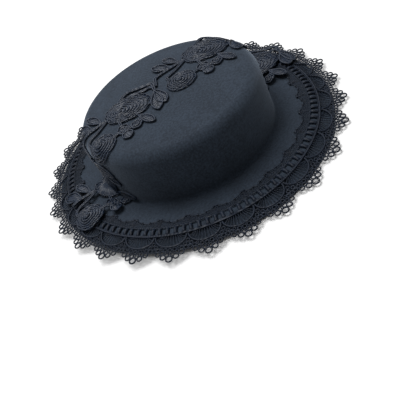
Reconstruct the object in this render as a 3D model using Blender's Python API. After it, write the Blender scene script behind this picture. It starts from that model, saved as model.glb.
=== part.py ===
"""A felt hat: a flat-topped crown and a level brim in one blocked piece, a scalloped lace edging
round the brim, and a lace strip of roses and leaves that climbs over the crown.

Metres, +Z up, front of the hat towards -Y. The brim rests at z = 0 and the lace edging is centred on
the Z axis. Felt is blocked from one hood, so crown and brim are one solid.
"""

import math

import bpy
import numpy as np
from mathutils import Vector
from mathutils.geometry import delaunay_2d_cdt

# Crown. Each ellipse is half its width (X) and half its length (Y).
CROWN_X = 0.0887
CROWN_Y = 0.0922
CROWN_BACK = -0.0020          # the crown's centre along Y
CROWN_HEIGHT = 0.0590         # from the brim's foot to the middle of the top
TOP_DOME = 0.0025             # how far the top swells above its own edge
SHOULDER_R = 0.0112           # roll between the wall and the top
FOOT_R = 0.0030               # fillet between the wall and the brim
FELT = 0.0025                 # thickness of the felt

# Brim
BRIM_X = 0.1415
BRIM_Y = 0.1480
BRIM_OFF_X = -0.0015          # the brim's edge, off the centre of the lace
BRIM_OFF_Y = -0.0020
BRIM_RISE = 0.0019            # gentle rise from the crown outwards
BRIM_DIP = 0.0050             # how far the last part bends down again
DIP_START = 0.60              # share of the brim's width where the bend starts
LEVEL = 0.94                  # and where it has levelled out
SIDE_LIFT = 0.0022            # the sides sit this much higher, front and back this much lower
REST_SHARE = 0.80             # the table flattens the wave past this share of it
FOOT_Z = FELT + BRIM_DIP - BRIM_RISE + SIDE_LIFT * REST_SHARE     # top of the brim beside the crown

# Lace edging
LINE_X = 0.1301               # the straight gimp cord's ellipse
LINE_Y = 0.1362
LACE = 0.0012                 # thickness of the lace
RELIEF = 0.0007               # how far cords and satin bars stand above it
GAP = 0.0007                  # clearance between the lace and the strip that crosses it
LACE_GAP = 0.0009             # clearance over the felt
SCALLOPS = 28
SCALLOP_PHASE = 0.17          # of one scallop, from the front towards the right side
DRIFT = 0.0050                # the lace is sewn on this much further along, right of the front
DRIFT_AT = 0.055              # middle and half of that stretch, as shares of the whole round
DRIFT_HALF = 0.130
BARS = 4                      # satin bars in one scallop
OVERHANG = 0.0125             # width of the lace past the felt
OVERHANG_DROP = 0.0014

# Rose strip
STRIP_TURN = math.radians(-20.0)      # its direction seen from above, from +X
REPEAT_LENGTH = 0.0970                       # length of one repeat of the pattern
REPEATS = 4
FIRST_ROSE = -0.1770                  # the first small rose, along the strip from the crown's middle
STRIP = 0.0013                        # thickness
STRIP_GAP = 0.0006                    # clearance over the felt
STRIP_RELIEF = 0.0009
SHOULDER_STEP = 0.0065                # longest edge where the strip bends
TOP_STEP = 0.0200                     # longest edge on the crown's top
WALL_STEP = 0.0110                    # longest edge on its wall and on the brim
BEND_MARGIN = 0.0150                  # the shorter edges start this far before the shoulder
LIFT_RUN = 0.0140                     # length over which it rises onto the edging
LIFT_BEFORE = 0.0045                  # and how far before the edging it has risen

AROUND = 44                   # facets round the felt
MERGE = 1e-6

# The felt's outer skin from the middle of the top down to the foot, then out along the brim.
SHOULDER_STEPS = 3
FILLET_STEPS = 2
DOME_SHARES = (0.5,)
EDGE_SHARE = 0.25             # how far the two skins stop before the edge, in thicknesses
BRIM_SHARES = (0.0, 0.32, 0.60, 0.72, 0.83, LEVEL, 1.0)

# One scallop, seen flat. Half-sizes and places in shares of the lace's width past the gimp cord.
LACE_WIDTH = 0.0260
RINGS = (
    # across, out, outer radius, hole radius, corners outside, corners of the hole
    (0.000, 0.842, 0.158, 0.104, 6, 4),
    (-0.300, 0.760, 0.135, 0.085, 5, 4),
    (0.300, 0.760, 0.135, 0.085, 5, 4),
)
BODY_TOP = ((0.60, 0.560), (0.53, 0.700), (0.0, 0.740), (-0.53, 0.700), (-0.60, 0.560))
VALLEY_OUT = 0.46
FAN_HALF = 0.43               # the opening under the arc cord
FAN_IN = 0.125
FAN_RISE = 0.235
ARC_HALF = 0.50               # the arc cord itself
ARC_RISE = 0.40
CORD_FOOT = 0.055             # where the gimp cord's swell ends
ON_CORD = 0.02                # a corner this near the arc cord's line is on it
FAN_CORNERS = 4
ARC_CORNERS = 4
BAR_IN = -0.315               # inner end of the satin bars that hang from the gimp cord
# Corners inside the underside, as INNER_EDGE below. The second follows the brim's highest line.
LOW_MARKS = ((0.0, -0.126), (0.0, -0.370))
INNER_EDGE = (
    # share of half a scallop from its middle, out
    (-1.0, -0.750),
    (0.0, -0.520),
    (1.0, -0.750),
)

# One repeat of the rose strip in shares of REPEAT_LENGTH: along from the small rose, across from the strip's axis.
ROSES = (
    # along, across, radius, corners
    (0.005, -0.088, 0.160, 10),
    (0.392, 0.160, 0.196, 10),
)
PETALS = (
    # along, across, radius, corners
    (0.526, 0.067, 0.186, 10),
    (0.258, -0.128, 0.067, 5),
    (0.376, -0.196, 0.057, 5),
)
LEAVES = (
    # base along, base across, tip along, tip across, width
    (0.258, -0.140, 0.242, -0.282, 0.105),
    (0.459, -0.098, 0.505, -0.335, 0.080),
    (0.763, 0.062, 0.622, -0.237, 0.113),
    (0.775, 0.085, 0.728, -0.212, 0.110),
    (0.072, 0.206, -0.020, 0.438, 0.113),
    (0.186, 0.200, 0.129, 0.448, 0.088),
)
STEMS = (
    # width, then points along, across
    (0.038, ((0.50, 0.30), (0.621, 0.343), (0.686, 0.291), (0.763, 0.237), (0.814, 0.188), (0.770, 0.075))),
    (0.034, ((0.557, 0.278), (0.660, 0.214), (0.769, 0.162), (0.791, 0.111))),
    (0.036, ((0.13, -0.115), (0.258, -0.128), (0.376, -0.196), (0.470, -0.130))),
    (0.036, ((0.30, 0.050), (0.258, -0.128))),
    (0.036, ((-0.030, 0.233), (0.080, 0.215), (0.230, 0.190))),
    (0.036, ((-0.060, 0.040), (-0.040, 0.105), (0.090, 0.130), (0.215, 0.175))),
)
LINK = (0.038, ((0.808, 0.104), (0.845, 0.162), (0.887, 0.227), (0.974, 0.233)))
# A leaf's outline: share of its length, half-width as a share of its width.
LEAF_PROFILE = ((0.0, 0.10), (0.40, 0.38), (0.76, 0.50), (1.0, 0.20))
# Rings of one rose: share of its radius, how much of the relief it has, corners.
ROSE_RINGS = ((0.70, 1.0, 6), (0.36, 0.1, 3), (0.0, 1.0, 1))

FELT_COLOUR = (0.020, 0.027, 0.037)
LACE_COLOUR = (0.016, 0.020, 0.027)


def material(name, colour, roughness):
    """A plain coloured finish."""
    mat = bpy.data.materials.new(name)
    mat.use_nodes = True
    shader = mat.node_tree.nodes["Principled BSDF"]
    shader.inputs["Base Color"].default_value = (*colour, 1.0)
    shader.inputs["Roughness"].default_value = roughness
    return mat


def make_object(name, points, faces, mat, smooth):
    """A mesh object made from points and faces."""
    mesh = bpy.data.meshes.new(name)
    mesh.from_pydata([tuple(p) for p in points], [], faces)
    mesh.validate()
    mesh.update()
    if smooth:
        mesh.shade_smooth()
    obj = bpy.data.objects.new(name, mesh)
    bpy.context.scene.collection.objects.link(obj)
    mesh.materials.append(mat)
    return obj


# Shape of the felt

def brim_wave(angle, share):
    """Height the brim gains at the sides and loses at front and back."""
    return SIDE_LIFT * max(math.cos(2.0 * angle), -REST_SHARE) * share * share


def brim_height(angle, share):
    """Top of the brim at a share of its width, 0 beside the crown and 1 at the edge."""
    run = min(share, LEVEL) / LEVEL
    bend = max(0.0, min(share, LEVEL) - DIP_START) / (LEVEL - DIP_START)
    drop = BRIM_DIP * bend * bend * (3.0 - 2.0 * bend)
    return FOOT_Z + BRIM_RISE * run - drop + brim_wave(angle, run)


def brim_ellipse(share):
    """Centre and half-sizes of the brim's outline at a share of its width."""
    keep = 1.0 - share
    return (BRIM_OFF_X * share, CROWN_BACK * keep + BRIM_OFF_Y * share,
            (CROWN_X + FOOT_R) * keep + BRIM_X * share, (CROWN_Y + FOOT_R) * keep + BRIM_Y * share)


def brim_share(x, y):
    """Share of the brim's width at a place seen from above; it goes on past 1 outside the felt."""
    low, high = 0.0, 2.0
    for _ in range(40):
        share = 0.5 * (low + high)
        off_x, off_y, half_x, half_y = brim_ellipse(share)
        if math.hypot((x - off_x) / half_x, (y - off_y) / half_y) > 1.0:
            low = share
        else:
            high = share
    return 0.5 * (low + high)


def felt_top(x, y):
    """Top of the brim, and past its edge the surface the overhanging lace follows."""
    share = brim_share(x, y)
    angle = math.atan2(y, x)
    if share <= 1.0:
        return brim_height(angle, share)
    width = 0.5 * (BRIM_X + BRIM_Y - CROWN_X - CROWN_Y) - FOOT_R
    over = min(1.0, (share - 1.0) * width / OVERHANG)
    return brim_height(angle, 1.0) - OVERHANG_DROP * (1.0 - (1.0 - over) ** 2)


SHOULDER_Z = FOOT_Z + CROWN_HEIGHT - TOP_DOME - SHOULDER_R


def dome_height(share):
    """Top of the crown at a share of the way to the roll."""
    return SHOULDER_Z + SHOULDER_R + TOP_DOME * (1.0 - share * share)


def crown_rings(inset):
    """Half-sizes and heights down the crown, moved inwards by the felt's thickness."""
    flat_x = CROWN_X - SHOULDER_R
    flat_y = CROWN_Y - SHOULDER_R
    rings = [(flat_x * share, flat_y * share, dome_height(share) - inset) for share in DOME_SHARES]
    roll = SHOULDER_R - inset
    for step in range(SHOULDER_STEPS + 1):
        turn = 0.5 * math.pi * step / SHOULDER_STEPS
        rings.append((flat_x + roll * math.sin(turn), flat_y + roll * math.sin(turn),
                      SHOULDER_Z + roll * math.cos(turn)))
    corner = FOOT_R + inset
    for step in range(FILLET_STEPS):
        turn = 0.5 * math.pi * step / FILLET_STEPS
        grow = FOOT_R - corner * math.cos(turn)
        rings.append((CROWN_X + grow, CROWN_Y + grow, FOOT_Z + FOOT_R - corner * math.sin(turn)))
    return rings


def felt_skin(inset):
    """Rows of points from the crown's top to the brim's edge, one row per ring."""
    rows = []
    angles = [2.0 * math.pi * k / AROUND for k in range(AROUND)]
    for half_x, half_y, height in crown_rings(inset):
        rows.append([(half_x * math.cos(a), CROWN_BACK + half_y * math.sin(a), height) for a in angles])
    for share in BRIM_SHARES:
        off_x, off_y, half_x, half_y = brim_ellipse(share)
        if share == 1.0:
            half_x -= EDGE_SHARE * FELT
            half_y -= EDGE_SHARE * FELT
        row = []
        for a in angles:
            x = off_x + half_x * math.cos(a)
            y = off_y + half_y * math.sin(a)
            row.append((x, y, brim_height(math.atan2(y, x), share) - inset))
        rows.append(row)
    return rows


def felt_body(mat):
    """Crown and brim in one solid: an outer skin, a rounded edge and an inner skin."""
    outer = felt_skin(0.0)
    inner = felt_skin(FELT)
    off_x, off_y, half_x, half_y = brim_ellipse(1.0)
    edge = []
    for k in range(AROUND):
        a = 2.0 * math.pi * k / AROUND
        x = off_x + half_x * math.cos(a)
        y = off_y + half_y * math.sin(a)
        edge.append((x, y, brim_height(math.atan2(y, x), 1.0) - 0.5 * FELT))
    rows = outer + [edge] + inner[::-1]
    points = [p for row in rows for p in row]
    faces = []
    for r in range(len(rows) - 1):
        for k in range(AROUND):
            n = (k + 1) % AROUND
            faces.append((r * AROUND + k, (r + 1) * AROUND + k, (r + 1) * AROUND + n, r * AROUND + n))
    top = len(points)
    points.append((0.0, CROWN_BACK, dome_height(0.0)))
    points.append((0.0, CROWN_BACK, dome_height(0.0) - FELT))
    last = (len(rows) - 1) * AROUND
    for k in range(AROUND):
        n = (k + 1) % AROUND
        faces.append((top, k, n))
        faces.append((top + 1, last + n, last + k))
    return make_object("felt_body", points, faces, mat, True)


# Flat patterns, cut out and given a thickness

def inside(point, loop):
    """True where a point lies inside a closed loop."""
    x, y = point
    hit = False
    for (x0, y0), (x1, y1) in zip(loop, loop[1:] + loop[:1]):
        if (y0 > y) != (y1 > y) and x < x0 + (y - y0) * (x1 - x0) / (y1 - y0):
            hit = not hit
    return hit


def triangulate(points, edges, test):
    """Corners and triangles that use every point and edge, kept where a test of their middle holds.
    The third result gives each point's corner."""
    found = delaunay_2d_cdt([Vector(p) for p in points], edges, [], 0, MERGE)
    corners = [(v.x, v.y) for v in found[0]]
    triangles = []
    for face in found[2]:
        a, b, c = (corners[i] for i in face)
        area = (b[0] - a[0]) * (c[1] - a[1]) - (b[1] - a[1]) * (c[0] - a[0])
        middle = ((a[0] + b[0] + c[0]) / 3.0, (a[1] + b[1] + c[1]) / 3.0)
        if abs(area) > MERGE * MERGE and test(middle):
            triangles.append(tuple(face) if area > 0.0 else tuple(face)[::-1])
    place = {source: k for k, sources in enumerate(found[3]) for source in sources}
    return corners, triangles, place


def rim_edges(triangles):
    """Directed edges that only one triangle has."""
    seen = {edge: True for a, b, c in triangles for edge in ((a, b), (b, c), (c, a))}
    return [edge for edge in seen if (edge[1], edge[0]) not in seen]


def cut_plate(loops, holes, top_marks, low_marks, on_seam):
    """A plate with the outline of all the loops together and the holes cut out. Its top and lower side
    have their own corners inside one common rim. Returns both, and the faces along the rim."""
    def kept(point):
        return any(inside(point, p) for p in loops) and not any(inside(point, h) for h in holes)

    points = []
    edges = []
    for loop in loops + holes:
        first = len(points)
        points.extend(loop)
        edges.extend((first + i, first + (i + 1) % len(loop)) for i in range(len(loop)))
    corners, triangles, _ = triangulate(points, edges, kept)
    rim = rim_edges(triangles)
    ids = sorted({i for edge in rim for i in edge})
    order = {i: k for k, i in enumerate(ids)}
    rim = [(order[a], order[b]) for a, b in rim]
    outline = [corners[i] for i in ids]
    top, top_triangles, top_place = triangulate(outline + top_marks, rim, kept)
    low, low_triangles, low_place = triangulate(outline + low_marks, rim, kept)
    sides = [(top_place[a], top_place[b], low_place[b], low_place[a])
             for a, b in rim if not on_seam(outline[a], outline[b])]
    return top, top_triangles, low, [t[::-1] for t in low_triangles], sides


def plate_object(name, plate, placers, mat, flip):
    """Copies of a flat plate, each put in place, joined along their seams into one closed solid.
    A pattern that is mirrored when it is put in place has its faces flipped."""
    corners, triangles, low_corners, low_triangles, sides = plate
    points = []
    faces = []
    for place_top, place_low in placers:
        base = len(points)
        points.extend(place_top(p) for p in corners)
        under = len(points)
        points.extend(place_low(p) for p in low_corners)
        faces.extend(tuple(base + i for i in t) for t in triangles)
        faces.extend(tuple(under + i for i in t) for t in low_triangles)
        for a, b, c, d in sides:
            faces.append((base + b, base + a, under + d))
            faces.append((base + b, under + d, under + c))
    welded = {}
    number = []
    kept = []
    for p in points:
        key = tuple(round(v / MERGE / 10.0) for v in p)
        if key not in welded:
            welded[key] = len(kept)
            kept.append(p)
        number.append(welded[key])
    used = sorted({number[i] for face in faces for i in face})
    packed = {i: k for k, i in enumerate(used)}
    solid = [tuple(packed[number[i]] for i in face) for face in faces]
    if flip:
        solid = [face[::-1] for face in solid]
    return make_object(name, [kept[i] for i in used], solid, mat, False)


def circle(x, y, radius, corners, squash=1.0, turn=0.0):
    """A closed loop of corners round a centre."""
    return [(x + radius * squash * math.cos(turn + 2.0 * math.pi * k / corners),
             y + radius * math.sin(turn + 2.0 * math.pi * k / corners)) for k in range(corners)]


# Lace edging

def line_table():
    """Length along the gimp cord's ellipse against its angle, from the front towards +X."""
    angles = np.linspace(-0.5 * math.pi, 1.5 * math.pi, 2881)
    x = LINE_X * np.cos(angles)
    y = LINE_Y * np.sin(angles)
    length = np.concatenate([[0.0], np.cumsum(np.hypot(np.diff(x), np.diff(y)))])
    return angles, length


LINE_ANGLES, LINE_LENGTHS = line_table()
LINE_LENGTH = float(LINE_LENGTHS[-1])
HALF_SCALLOP = 0.5 * LINE_LENGTH / SCALLOPS
LINE_MEAN = LINE_LENGTH / (2.0 * math.pi)


def line_place(along, out):
    """A place seen from above, from the length along the gimp cord and the distance out of it."""
    angle = float(np.interp(along % LINE_LENGTH, LINE_LENGTHS, LINE_ANGLES))
    x = LINE_X * math.cos(angle)
    y = LINE_Y * math.sin(angle)
    nx = math.cos(angle) / LINE_X
    ny = math.sin(angle) / LINE_Y
    size = math.hypot(nx, ny)
    return x + nx / size * out, y + ny / size * out


def true_width(out):
    """How much a length along the gimp cord grows at a distance out of it."""
    return 1.0 + out / LINE_MEAN


def sewn(along):
    """A length along the gimp cord after the small unevenness of the sewing."""
    share = (along / LINE_LENGTH - DRIFT_AT + 0.5) % 1.0 - 0.5
    if abs(share) >= DRIFT_HALF:
        return along
    return along + DRIFT * math.cos(0.5 * math.pi * share / DRIFT_HALF) ** 2


def scallop_pattern():
    """One scallop of the edging, cut flat."""
    half = HALF_SCALLOP
    unit = LACE_WIDTH
    loops = []
    holes = []
    for across, out, radius, hole, corners, hole_corners in RINGS:
        out *= unit
        squash = 1.0 / true_width(out)
        across *= unit * squash
        loops.append(circle(across, out, radius * unit, corners, squash, 0.5 * math.pi))
        holes.append(circle(across, out, hole * unit, hole_corners, squash, 0.5 * math.pi))
    body = [(x * unit / true_width(y * unit), y * unit) for x, y in BODY_TOP]
    body.append((-half, VALLEY_OUT * unit))
    between = 0.5 * (BAR_IN + INNER_EDGE[0][1])
    rows_in = [(-half, out * unit) for out in (0.0, 0.5 * BAR_IN, BAR_IN, between)]
    body.extend(rows_in)
    body.extend((x * half, y * unit) for x, y in INNER_EDGE)
    body.extend((-x, y) for x, y in rows_in[::-1])
    body.append((half, VALLEY_OUT * unit))
    loops.append(body)
    fan = []
    for k in range(FAN_CORNERS):
        turn = math.pi * k / (FAN_CORNERS - 1)
        out = (FAN_IN + FAN_RISE * math.sin(turn)) * unit
        fan.append((FAN_HALF * unit * math.cos(turn) / true_width(out), out))
    holes.append(fan)
    marks = []
    for k in range(BARS):
        bar = -half + (k + 0.5) * 2.0 * half / BARS
        marks.extend([(bar, 0.0), (bar, BAR_IN * unit)])
        if k < BARS - 1:
            marks.append((bar + half / BARS, 0.5 * BAR_IN * unit))
    for k in range(1, ARC_CORNERS):
        turn = math.pi * k / ARC_CORNERS
        out = ARC_RISE * math.sin(turn) * unit
        marks.append((ARC_HALF * unit * math.cos(turn) / true_width(out), out + CORD_FOOT * unit))
    def seam(a, b):
        return abs(abs(a[0]) - half) < MERGE and abs(abs(b[0]) - half) < MERGE and a[0] * b[0] > 0.0

    return cut_plate(loops, holes, marks, [(x * half, out * unit) for x, out in LOW_MARKS], seam)


def lace_relief(point):
    """Height of the cords and satin bars above the lace."""
    x, out = point
    unit = LACE_WIDTH
    if abs(out) < MERGE or abs(out - BAR_IN * unit) < MERGE:
        return RELIEF
    if CORD_FOOT * unit + MERGE < out < (ARC_RISE + CORD_FOOT) * unit + MERGE:
        wide = ARC_HALF * unit / true_width(out - CORD_FOOT * unit)
        ring = math.hypot(x / wide, (out - CORD_FOOT * unit) / (ARC_RISE * unit))
        if abs(ring - 1.0) < ON_CORD:
            return RELIEF
    return 0.0


def brim_lace(mat):
    """The edging: one scallop repeated round the brim."""
    def placer(number, side):
        start = (number + SCALLOP_PHASE) * 2.0 * HALF_SCALLOP

        def place(point):
            x, y = line_place(sewn(start + point[0]), point[1])
            height = felt_top(x, y) + LACE_GAP
            return (x, y, height + LACE + lace_relief(point) if side else height)
        return place

    placers = [(placer(k, True), placer(k, False)) for k in range(SCALLOPS)]
    return plate_object("brim_lace", scallop_pattern(), placers, mat, True)


# Rose strip

TOP_STEPS = 12
ROLL_STEPS = 12
FOOT_STEPS = 6
BRIM_STEPS = 48               # over one repeat's length, past the end of the strip
MARK_ROWS = 8                 # rows of corners across the strip
MARK_FIRST = -0.26            # the first row and the distance between rows, in shares of REPEAT_LENGTH
MARK_STEP = 0.098
MARK_OUT = 0.0150             # distance between corners on the brim
TOP_SHARES = (0.15, 0.60)     # corners on the crown's top, as shares of the way to its roll
ROLL_MARKS = (0, 4, 8, 12)    # and on the roll, as steps of it


def section(across, side):
    """The felt's outline in an upright cut along the strip: length, place along, height."""
    cos_t = math.cos(STRIP_TURN)
    sin_t = math.sin(STRIP_TURN)

    def chord(half_x, half_y):
        qa = (cos_t / half_x) ** 2 + (sin_t / half_y) ** 2
        qb = 2.0 * across * cos_t * sin_t * (1.0 / half_y ** 2 - 1.0 / half_x ** 2)
        qc = (across * sin_t / half_x) ** 2 + (across * cos_t / half_y) ** 2 - 1.0
        return (-qb + side * math.sqrt(qb * qb - 4.0 * qa * qc)) / (2.0 * qa)

    flat_x = CROWN_X - SHOULDER_R
    flat_y = CROWN_Y - SHOULDER_R
    path = []
    edge = chord(flat_x, flat_y)
    for k in range(TOP_STEPS):
        u = edge * k / TOP_STEPS
        x = u * cos_t - across * sin_t
        y = u * sin_t + across * cos_t
        path.append((u, dome_height(math.hypot(x / flat_x, y / flat_y))))
    for k in range(ROLL_STEPS + 1):
        turn = 0.5 * math.pi * k / ROLL_STEPS
        grow = SHOULDER_R * math.sin(turn)
        path.append((chord(flat_x + grow, flat_y + grow), SHOULDER_Z + SHOULDER_R * math.cos(turn)))
    for k in range(FOOT_STEPS + 1):
        turn = 0.5 * math.pi * k / FOOT_STEPS
        grow = FOOT_R * (1.0 - math.cos(turn))
        path.append((chord(CROWN_X + grow, CROWN_Y + grow), FOOT_Z + FOOT_R * (1.0 - math.sin(turn))))
    foot = path[-1][0]
    for k in range(1, BRIM_STEPS + 1):
        u = foot + side * REPEAT_LENGTH * k / BRIM_STEPS
        x = u * cos_t - across * sin_t
        y = CROWN_BACK + u * sin_t + across * cos_t
        path.append((u, felt_top(x, y)))
    path = np.array(path)
    length = np.concatenate([[0.0], np.cumsum(np.hypot(np.diff(path[:, 0]), np.diff(path[:, 1])))])
    return length, path


def strip_lift(x, y):
    """Clearance under the strip: more where it lies on the lace edging."""
    ring = math.hypot(x / LINE_X, y / LINE_Y)
    out = (ring - 1.0) * LINE_MEAN
    full = INNER_EDGE[0][1] * LACE_WIDTH - LIFT_BEFORE
    share = min(1.0, max(0.0, 1.0 + (out - full) / LIFT_RUN))
    return STRIP_GAP + (LACE_GAP + LACE + RELIEF + GAP) * share * share * (3.0 - 2.0 * share)


SLOPE_REACH = 0.10 * SHOULDER_R        # half the length over which its slope is measured
SECTIONS = {}


def drape(along, across, height):
    """A place on the strip laid over the crown and brim."""
    side = 1.0 if along >= 0.0 else -1.0
    key = (round(across, 6), side)
    if key not in SECTIONS:
        SECTIONS[key] = section(across, side)
    length, path = SECTIONS[key]
    reach = SLOPE_REACH
    here = abs(along)
    u = float(np.interp(here, length, path[:, 0]))
    z = float(np.interp(here, length, path[:, 1]))
    du = float(np.interp(here + reach, length, path[:, 0]) - np.interp(here - reach, length, path[:, 0]))
    dz = float(np.interp(here + reach, length, path[:, 1]) - np.interp(here - reach, length, path[:, 1]))
    size = math.hypot(du, dz)
    nu, nz = -dz / size * side, du / size * side
    cos_t = math.cos(STRIP_TURN)
    sin_t = math.sin(STRIP_TURN)
    x = u * cos_t - across * sin_t
    y = CROWN_BACK + u * sin_t + across * cos_t
    rise = strip_lift(x, y) + height
    u += nu * rise
    return (u * cos_t - across * sin_t, CROWN_BACK + u * sin_t + across * cos_t, z + nz * rise)


def leaf(base, tip, width):
    """A pointed leaf from its base to its tip."""
    bx, by = base
    tx, ty = tip
    size = math.hypot(tx - bx, ty - by)
    px, py = -(ty - by) / size, (tx - bx) / size
    profile = LEAF_PROFILE
    right = [(bx + (tx - bx) * s - px * width * w, by + (ty - by) * s - py * width * w) for s, w in profile]
    left = [(bx + (tx - bx) * s + px * width * w, by + (ty - by) * s + py * width * w) for s, w in profile]
    return right + left[::-1]


def ribbon(points, width):
    """A band of even width along a line."""
    left = []
    right = []
    for k, (x, y) in enumerate(points):
        x0, y0 = points[max(0, k - 1)]
        x1, y1 = points[min(len(points) - 1, k + 1)]
        size = math.hypot(x1 - x0, y1 - y0)
        px, py = -(y1 - y0) / size * 0.5 * width, (x1 - x0) / size * 0.5 * width
        left.append((x + px, y + py))
        right.append((x - px, y - py))
    return right + left[::-1]


def longest_edge(along):
    """How long an edge of the outline may be, shortest over the crown's shoulder."""
    low = CROWN_X - SHOULDER_R - BEND_MARGIN
    if low < abs(along) < CROWN_X - SHOULDER_R + 0.5 * math.pi * SHOULDER_R:
        return SHOULDER_STEP
    return TOP_STEP if abs(along) < low else WALL_STEP


def refine(loop):
    """The same loop with long edges split, shorter where the strip bends."""
    out = []
    for (x0, y0), (x1, y1) in zip(loop, loop[1:] + loop[:1]):
        count = max(1, math.ceil(math.hypot(x1 - x0, y1 - y0) / longest_edge(0.5 * (x0 + x1))))
        out.extend((x0 + (x1 - x0) * i / count, y0 + (y1 - y0) * i / count) for i in range(count))
    return out


def strip_shapes():
    """Outlines of every rose, blossom, leaf and stem, and the rings that raise the roses."""
    loops = []
    rings = []
    for number in range(REPEATS):
        start = FIRST_ROSE + number * REPEAT_LENGTH

        def at(point, start=start):
            return (start + point[0] * REPEAT_LENGTH, point[1] * REPEAT_LENGTH)

        for along, across, radius, corners in ROSES:
            x, y = at((along, across))
            loops.append(circle(x, y, radius * REPEAT_LENGTH, corners))
            for share, lift, count in ROSE_RINGS:
                rings.append((circle(x, y, radius * share * REPEAT_LENGTH, count), lift))
        for along, across, radius, corners in PETALS:
            x, y = at((along, across))
            loops.append(circle(x, y, radius * REPEAT_LENGTH, corners))
        for base_x, base_y, tip_x, tip_y, width in LEAVES:
            loops.append(leaf(at((base_x, base_y)), at((tip_x, tip_y)), width * REPEAT_LENGTH))
        stems = STEMS + ((LINK,) if number < REPEATS - 1 else ())
        for width, points in stems:
            loops.append(ribbon([at(p) for p in points], width * REPEAT_LENGTH))
    return [refine(loop) for loop in loops], rings


def strip_marks(loops):
    """Corners inside the strip so that it follows the crown: some on each straight part, and where it bends."""
    marks = []
    for row in range(MARK_ROWS):
        across = (MARK_FIRST + MARK_STEP * row) * REPEAT_LENGTH
        for side in (-1.0, 1.0):
            length, path = section(across, side)
            roll = float(length[TOP_STEPS])
            stations = [share * roll for share in TOP_SHARES]
            stations += [float(length[TOP_STEPS + k]) for k in ROLL_MARKS]
            stations += [float(length[TOP_STEPS + ROLL_STEPS + 1 + k]) for k in (0, FOOT_STEPS)]
            foot = stations[-1]
            stations.append(0.5 * (stations[-2] + stations[-3]))
            stations += [foot + MARK_OUT, foot + 2.0 * MARK_OUT]
            marks.extend((side * s, across) for s in stations)
    return [m for m in marks if any(inside(m, loop) for loop in loops)]


def floral_strip(mat):
    """The strip: one flat pattern, thickened and draped over the crown and brim."""
    loops, rings = strip_shapes()
    marks = strip_marks(loops)
    lifts = {}
    ring_marks = []
    for ring, lift in rings:
        for p in ring:
            lifts[(round(p[0], 6), round(p[1], 6))] = lift
            ring_marks.append(p)
    plate = cut_plate(loops, [], marks + ring_marks, marks, lambda a, b: False)

    def place_top(point):
        lift = lifts.get((round(point[0], 6), round(point[1], 6)), 0.0)
        return drape(point[0], point[1], STRIP + STRIP_RELIEF * lift)

    def place_low(point):
        return drape(point[0], point[1], 0.0)

    return plate_object("floral_strip", plate, [(place_top, place_low)], mat, False)


for old in list(bpy.data.objects):
    bpy.data.objects.remove(old, do_unlink=True)

felt = material("felt", FELT_COLOUR, 0.95)
edging = material("edging_thread", LACE_COLOUR, 0.55)
strip_thread = material("strip_thread", LACE_COLOUR, 0.50)

pieces = [felt_body(felt), brim_lace(edging), floral_strip(strip_thread)]
for piece in pieces:
    box = np.array([v.co for v in piece.data.vertices])
    piece.data.calc_loop_triangles()
    print(piece.name, "triangles", len(piece.data.loop_triangles),
          "from", np.round(box.min(axis=0), 4), "to", np.round(box.max(axis=0), 4))
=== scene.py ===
# %% [markdown]
# # A felt hat with corded lace
#
# The hat is a low, flat-topped crown and a level brim, pressed in one piece from a felt hood. A
# scalloped lace edging is sewn round the brim and reaches a little past it. A second lace strip, of
# roses, leaves and stems, climbs one side of the crown, crosses its top slantwise and comes down on
# the other side.
#
# The model was made before as three plain solids. This lesson dresses them: it puts a finer felt
# body and two pieces of real cordwork in their place, in the same frame and at the same size.
# All lengths are metres, and +Z is up.

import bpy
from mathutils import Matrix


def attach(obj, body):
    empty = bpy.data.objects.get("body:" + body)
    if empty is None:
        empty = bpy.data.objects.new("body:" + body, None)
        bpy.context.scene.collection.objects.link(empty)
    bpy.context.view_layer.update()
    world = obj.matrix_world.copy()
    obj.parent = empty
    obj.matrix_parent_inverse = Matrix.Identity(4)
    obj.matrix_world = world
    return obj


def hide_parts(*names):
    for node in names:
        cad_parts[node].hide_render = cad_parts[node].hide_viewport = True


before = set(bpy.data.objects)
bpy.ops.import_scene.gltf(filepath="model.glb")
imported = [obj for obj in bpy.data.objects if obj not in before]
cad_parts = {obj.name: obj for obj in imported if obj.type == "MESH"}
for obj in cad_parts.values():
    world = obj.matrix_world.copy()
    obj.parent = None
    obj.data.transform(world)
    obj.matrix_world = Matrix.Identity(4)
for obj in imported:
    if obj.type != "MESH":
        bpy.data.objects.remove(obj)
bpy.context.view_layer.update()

import math

import bpy
import numpy as np
from mathutils import Matrix, Vector

print("nodes:", sorted(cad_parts))

# %% [markdown]
# ## Sizes
#
# Every length that shapes the hat is named once. The crown and the brim are ellipses, a little
# longer from front to back than from side to side. The lace lies along its own ellipse, the line of
# a straight gimp cord, which isn't quite parallel to the brim's edge.

# %% Sizes of the felt
CROWN_X = 0.0887
CROWN_Y = 0.0922
CROWN_BACK = -0.0020
CROWN_HEIGHT = 0.0590
TOP_DOME = 0.0025
SHOULDER_R = 0.0112
FOOT_R = 0.0030
FELT = 0.0025

BRIM_X = 0.1415
BRIM_Y = 0.1480
BRIM_OFF_X = -0.0015
BRIM_OFF_Y = -0.0020
BRIM_RISE = 0.0019
BRIM_DIP = 0.0050
DIP_START = 0.60
LEVEL = 0.94
SIDE_LIFT = 0.0022
REST_SHARE = 0.80
FOOT_Z = FELT + BRIM_DIP - BRIM_RISE + SIDE_LIFT * REST_SHARE
SHOULDER_Z = FOOT_Z + CROWN_HEIGHT - TOP_DOME - SHOULDER_R

# %% Sizes of the lace
LINE_X = 0.1301
LINE_Y = 0.1362
LACE = 0.0012
RELIEF = 0.0007
GAP = 0.0007
LACE_GAP = 0.0009
SCALLOPS = 28
SCALLOP_PHASE = 0.17
DRIFT = 0.0050
DRIFT_AT = 0.055
DRIFT_HALF = 0.130
OVERHANG = 0.0125
OVERHANG_DROP = 0.0014

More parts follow.
